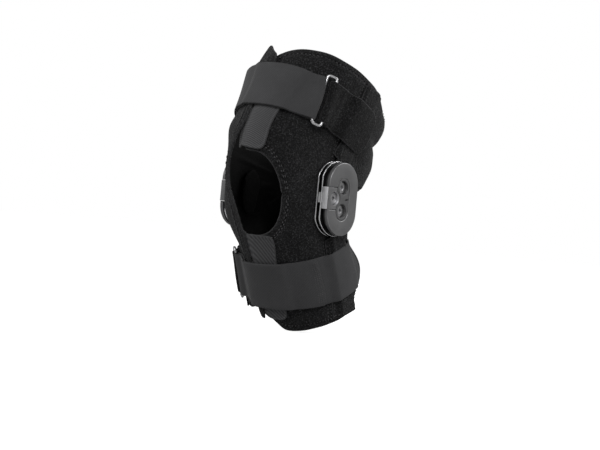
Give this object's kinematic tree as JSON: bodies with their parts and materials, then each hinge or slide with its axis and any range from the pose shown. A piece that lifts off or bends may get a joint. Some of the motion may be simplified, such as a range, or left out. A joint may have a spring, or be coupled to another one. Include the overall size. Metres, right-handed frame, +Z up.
{
  "type": "knee brace",
  "caption": "Hinged wrap-around knee brace: neoprene sleeve with open kneecap, geared side hinges on metal uprights, ring straps at thigh and calf.",
  "frame": {"origin": "middle of the brace's box in Y and Z, on the plane midway between the two side hinges (within 1.5 mm of the box's middle in X); the knee centre lies 14.5 mm in front of it and 6.3 mm below it", "axes": "+X lateral (outer side of the leg), -Y front of the knee, +Z up along the hinge housings, with the knee bent 40 degrees at rest"},
  "size_m": [0.1563, 0.176, 0.2854],
  "materials": {
    "wrap": "dark loop-faced neoprene cloth, fuzzy and matt",
    "pocket": "dark stretch cloth with a light bound edge",
    "strap": "mid grey woven elastic webbing",
    "tab": "grey diagonal twill over hook tape",
    "anchor": "dark loop tape",
    "pad": "smooth near-black lining over foam",
    "plate": "dark faces with bare bright edges",
    "upright": "brushed flat bar",
    "cover": "satin mid grey",
    "spacer": "matt black",
    "bridge": "darker grey, satin",
    "insert": "bright front edge, grey face",
    "screw": "polished socket head",
    "washer": "plain nylon",
    "ring": "polished wire"
  },
  "bodies": {
    "thigh": {"thigh_lateral_panel": "wrap", "thigh_medial_panel": "wrap", "thigh_back_panel": "wrap", "lateral_thigh_pocket": "pocket", "lateral_thigh_upright": "upright", "medial_thigh_pocket": "pocket", "medial_thigh_upright": "upright", "upper_closure_tab": "tab", "thigh_strap": "strap", "thigh_strap_anchor": "anchor"},
    "calf": {"calf_lateral_panel": "wrap", "calf_medial_panel": "wrap", "calf_back_panel": "wrap", "lateral_calf_pocket": "pocket", "lateral_calf_upright": "upright", "medial_calf_pocket": "pocket", "medial_calf_upright": "upright", "lower_closure_tab": "tab", "calf_strap": "strap", "calf_strap_anchor": "anchor"},
    "knee_hinges": {"knee_lateral_panel": "wrap", "knee_medial_panel": "wrap", "lateral_inner_plate": "plate", "lateral_outer_plate": "plate", "lateral_hinge_spacer": "spacer", "lateral_hinge_cover": "cover", "lateral_pivot_bridge": "bridge", "lateral_upper_pivot_screw": "screw", "lateral_lower_pivot_screw": "screw", "lateral_upper_inner_washer": "washer", "lateral_upper_outer_washer": "washer", "lateral_lower_inner_washer": "washer", "lateral_lower_outer_washer": "washer", "lateral_condyle_pad": "pad", "medial_inner_plate": "plate", "medial_outer_plate": "plate", "medial_hinge_spacer": "spacer", "medial_hinge_cover": "cover", "medial_pivot_bridge": "bridge", "medial_upper_pivot_screw": "screw", "medial_lower_pivot_screw": "screw", "medial_upper_inner_washer": "washer", "medial_upper_outer_washer": "washer", "medial_lower_inner_washer": "washer", "medial_lower_outer_washer": "washer", "medial_condyle_pad": "pad"},
    "lateral_stop_insert": {"lateral_stop_insert": "insert"},
    "lateral_insert_screw": {"lateral_insert_screw": "screw"},
    "medial_stop_insert": {"medial_stop_insert": "insert"},
    "medial_insert_screw": {"medial_insert_screw": "screw"},
    "thigh_strap_ring": {"thigh_strap_ring": "ring"},
    "thigh_strap_tail": {"thigh_strap_tail": "strap"},
    "calf_strap_ring": {"calf_strap_ring": "ring"},
    "calf_strap_tail": {"calf_strap_tail": "strap"}
  },
  "joints": [
    {"name": "knee_upper_pivot", "type": "hinge", "parent": "thigh", "child": "knee_hinges", "pos_m": [0, -0.01523, 0.00542], "axis": [1, 0, 0], "range_deg": [-20, 30], "deforming": ["thigh_back_panel"]},
    {"name": "knee_lower_pivot", "type": "hinge", "parent": "knee_hinges", "child": "calf", "pos_m": [0, -0.01523, -0.01798], "axis": [1, 0, 0], "range_deg": [-20, 30], "deforming": ["calf_back_panel"]},
    {"name": "lateral_stop_slide", "type": "slide", "parent": "knee_hinges", "child": "lateral_stop_insert", "axis": [0, -1, 0], "range_m": [0, 0.02]},
    {"name": "lateral_insert_screw_turn", "type": "hinge", "parent": "lateral_stop_insert", "child": "lateral_insert_screw", "pos_m": [0.0695, -0.02803, -0.00628], "axis": [1, 0, 0], "range_deg": [0, 360]},
    {"name": "medial_stop_slide", "type": "slide", "parent": "knee_hinges", "child": "medial_stop_insert", "axis": [0, -1, 0], "range_m": [0, 0.02]},
    {"name": "medial_insert_screw_turn", "type": "hinge", "parent": "medial_stop_insert", "child": "medial_insert_screw", "pos_m": [-0.0695, -0.02803, -0.00628], "axis": [-1, 0, 0], "range_deg": [0, 360]},
    {"name": "thigh_strap_peel", "type": "hinge", "parent": "thigh", "child": "thigh_strap_tail", "pos_m": [0.05583, -0.04486, 0.09278], "axis": [0.1524, 0.4304, 0.8897], "range_deg": [0, 60]},
    {"name": "thigh_ring_swing", "type": "hinge", "parent": "thigh", "child": "thigh_strap_ring", "pos_m": [0.06127, -0.03728, 0.08818], "axis": [0.1524, 0.4304, 0.8897], "range_deg": [-3, 3]},
    {"name": "calf_strap_peel", "type": "hinge", "parent": "calf", "child": "calf_strap_tail", "pos_m": [-0.05146, -0.02591, -0.09425], "axis": [-0.0684, 0.4035, -0.9124], "range_deg": [0, 60]},
    {"name": "calf_ring_swing", "type": "hinge", "parent": "calf", "child": "calf_strap_ring", "pos_m": [-0.05947, -0.02008, -0.09107], "axis": [-0.0684, 0.4035, -0.9124], "range_deg": [-3, 3]}
  ],
  "couplings": [
    {"joint": "knee_lower_pivot", "follows": "knee_upper_pivot", "ratio": 1}
  ]
}
